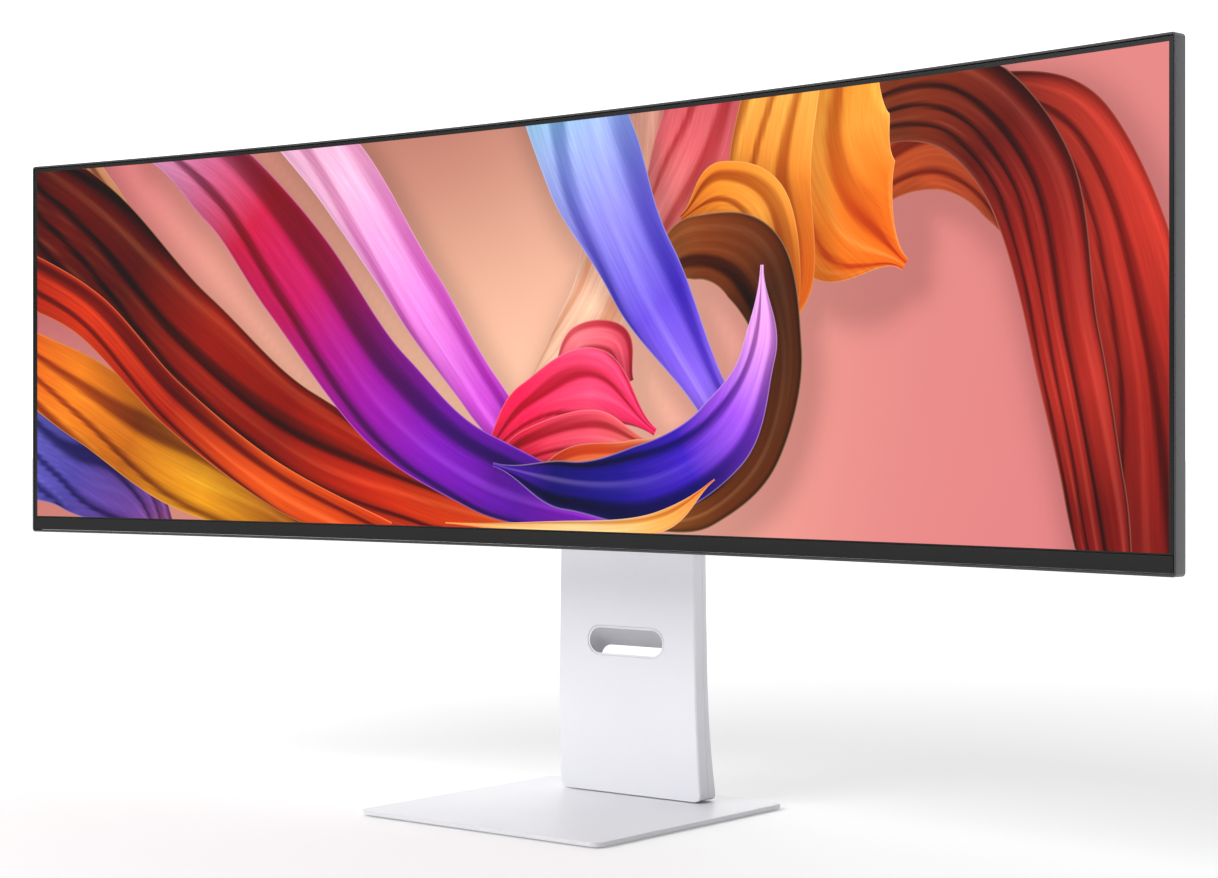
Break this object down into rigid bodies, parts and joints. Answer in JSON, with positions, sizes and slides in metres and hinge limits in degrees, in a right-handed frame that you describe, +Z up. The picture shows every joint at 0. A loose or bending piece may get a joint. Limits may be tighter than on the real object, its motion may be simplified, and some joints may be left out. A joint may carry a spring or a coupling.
{
  "type": "computer monitor",
  "caption": "Curved ultrawide desktop monitor on a white slab stand that swivels, slides up and down and tilts, with a cable slot in the column and a thin square base.",
  "frame": {"origin": "on the desk, under the centre of the base plate", "axes": "+X to the right of a person looking at the picture, +Y away from that person, +Z up"},
  "size_m": [1.202, 0.2544, 0.5833],
  "materials": {
    "dark_frame": "fine satin texture",
    "dark_bezel": "fine matte texture",
    "panel_glass": "anti-glare picture surface of a glass and film laminate",
    "diffuser_film": "matte film",
    "acrylic_guide": "clear acrylic",
    "sheet_steel": "galvanised sheet",
    "white_shell": "fine matte texture",
    "white_paint": "satin powder coat",
    "dark_steel": "black oxide",
    "bright_steel": "ground and plated",
    "zinc_casting": "die cast",
    "spring_steel": "oiled wire",
    "board_green": "solder mask",
    "black_plastic": "satin",
    "acetal": "natural",
    "rubber_pad": "matte"
  },
  "bodies": {
    "base": {"base_plate": "white_paint", "foot_pad_front_left": "rubber_pad", "foot_pad_front_right": "rubber_pad", "foot_pad_rear_left": "rubber_pad", "foot_pad_rear_right": "rubber_pad", "kingpin": "dark_steel", "swivel_nut": "bright_steel"},
    "column": {"foot_casting": "zinc_casting", "column_front_cover": "white_shell", "column_rear_cover": "white_shell", "cable_slot_liner": "white_shell", "column_top_cap": "white_shell", "column_spine": "dark_steel", "rod_bracket": "dark_steel", "guide_rod_left": "bright_steel", "guide_rod_right": "bright_steel", "lift_spring_left": "spring_steel", "lift_spring_right": "spring_steel"},
    "carriage": {"carriage": "zinc_casting", "slide_bush_left": "acetal", "slide_bush_right": "acetal", "tilt_arm": "zinc_casting", "tilt_shaft": "bright_steel", "arm_shroud": "white_shell", "tilt_spring_left": "spring_steel", "tilt_spring_right": "spring_steel"},
    "head": {"front_frame": "dark_frame", "bottom_bezel": "dark_bezel", "lcd_panel": "panel_glass", "optical_sheets": "diffuser_film", "light_guide": "acrylic_guide", "led_bar": "sheet_steel", "backlight_tray": "sheet_steel", "rear_cover": "white_shell", "receiver_plate": "dark_steel", "mount_screw_low_left": "bright_steel", "mount_screw_low_right": "bright_steel", "mount_screw_high_left": "bright_steel", "mount_screw_high_right": "bright_steel", "tilt_bracket": "dark_steel", "board_chassis": "sheet_steel", "main_board": "board_green", "power_board": "board_green", "speaker_left": "black_plastic", "speaker_right": "black_plastic", "hdmi_port_1": "bright_steel", "hdmi_port_2": "bright_steel", "displayport_port": "bright_steel", "usb_c_port": "bright_steel", "usb_a_port_1": "bright_steel", "usb_a_port_2": "bright_steel", "audio_jack": "black_plastic", "ac_inlet": "black_plastic", "port_plate": "black_plastic", "joystick_switch": "black_plastic"},
    "joystick_ring": {"joystick_ring": "acetal"},
    "joystick_stem": {"joystick_stem": "acetal"},
    "joystick_cap": {"joystick_cap": "black_plastic"},
    "release_button": {"release_button": "white_shell"},
    "release_latch": {"release_latch": "bright_steel"}
  },
  "joints": [
    {"name": "swivel", "type": "hinge", "parent": "base", "child": "column", "pos_m": [0, 0.086, 0.006], "axis": [0, 0, 1], "range_deg": [-15, 15]},
    {"name": "height", "type": "slide", "parent": "column", "child": "carriage", "axis": [0, 0, 1], "range_m": [-0.11, 0], "deforming": ["lift_spring_left", "lift_spring_right"]},
    {"name": "tilt", "type": "hinge", "parent": "carriage", "child": "head", "pos_m": [0, 0.038, 0.41], "axis": [-1, 0, 0], "range_deg": [-5, 20]},
    {"name": "joystick_lean_x", "type": "hinge", "parent": "head", "child": "joystick_ring", "pos_m": [0, -0.015, 0.283], "axis": [0, 1, 0], "range_deg": [-4, 4], "stiffness_Nm_per_rad": 0.05},
    {"name": "joystick_lean_y", "type": "hinge", "parent": "joystick_ring", "child": "joystick_stem", "pos_m": [0, -0.015, 0.283], "axis": [1, 0, 0], "range_deg": [-4, 4], "stiffness_Nm_per_rad": 0.05},
    {"name": "joystick_press", "type": "slide", "parent": "joystick_stem", "child": "joystick_cap", "axis": [0, 0, 1], "range_m": [0, 0.0006], "stiffness_N_per_m": 1500, "springref_m": -0.0002},
    {"name": "release_press", "type": "slide", "parent": "head", "child": "release_button", "axis": [0, -1, 0], "range_m": [0, 0.003], "stiffness_N_per_m": 1500, "springref_m": -0.0005},
    {"name": "latch_slide", "type": "slide", "parent": "head", "child": "release_latch", "axis": [0, 0, -1], "range_m": [0, 0.003]}
  ],
  "couplings": [
    {"joint": "latch_slide", "follows": "release_press", "ratio": 1}
  ]
}
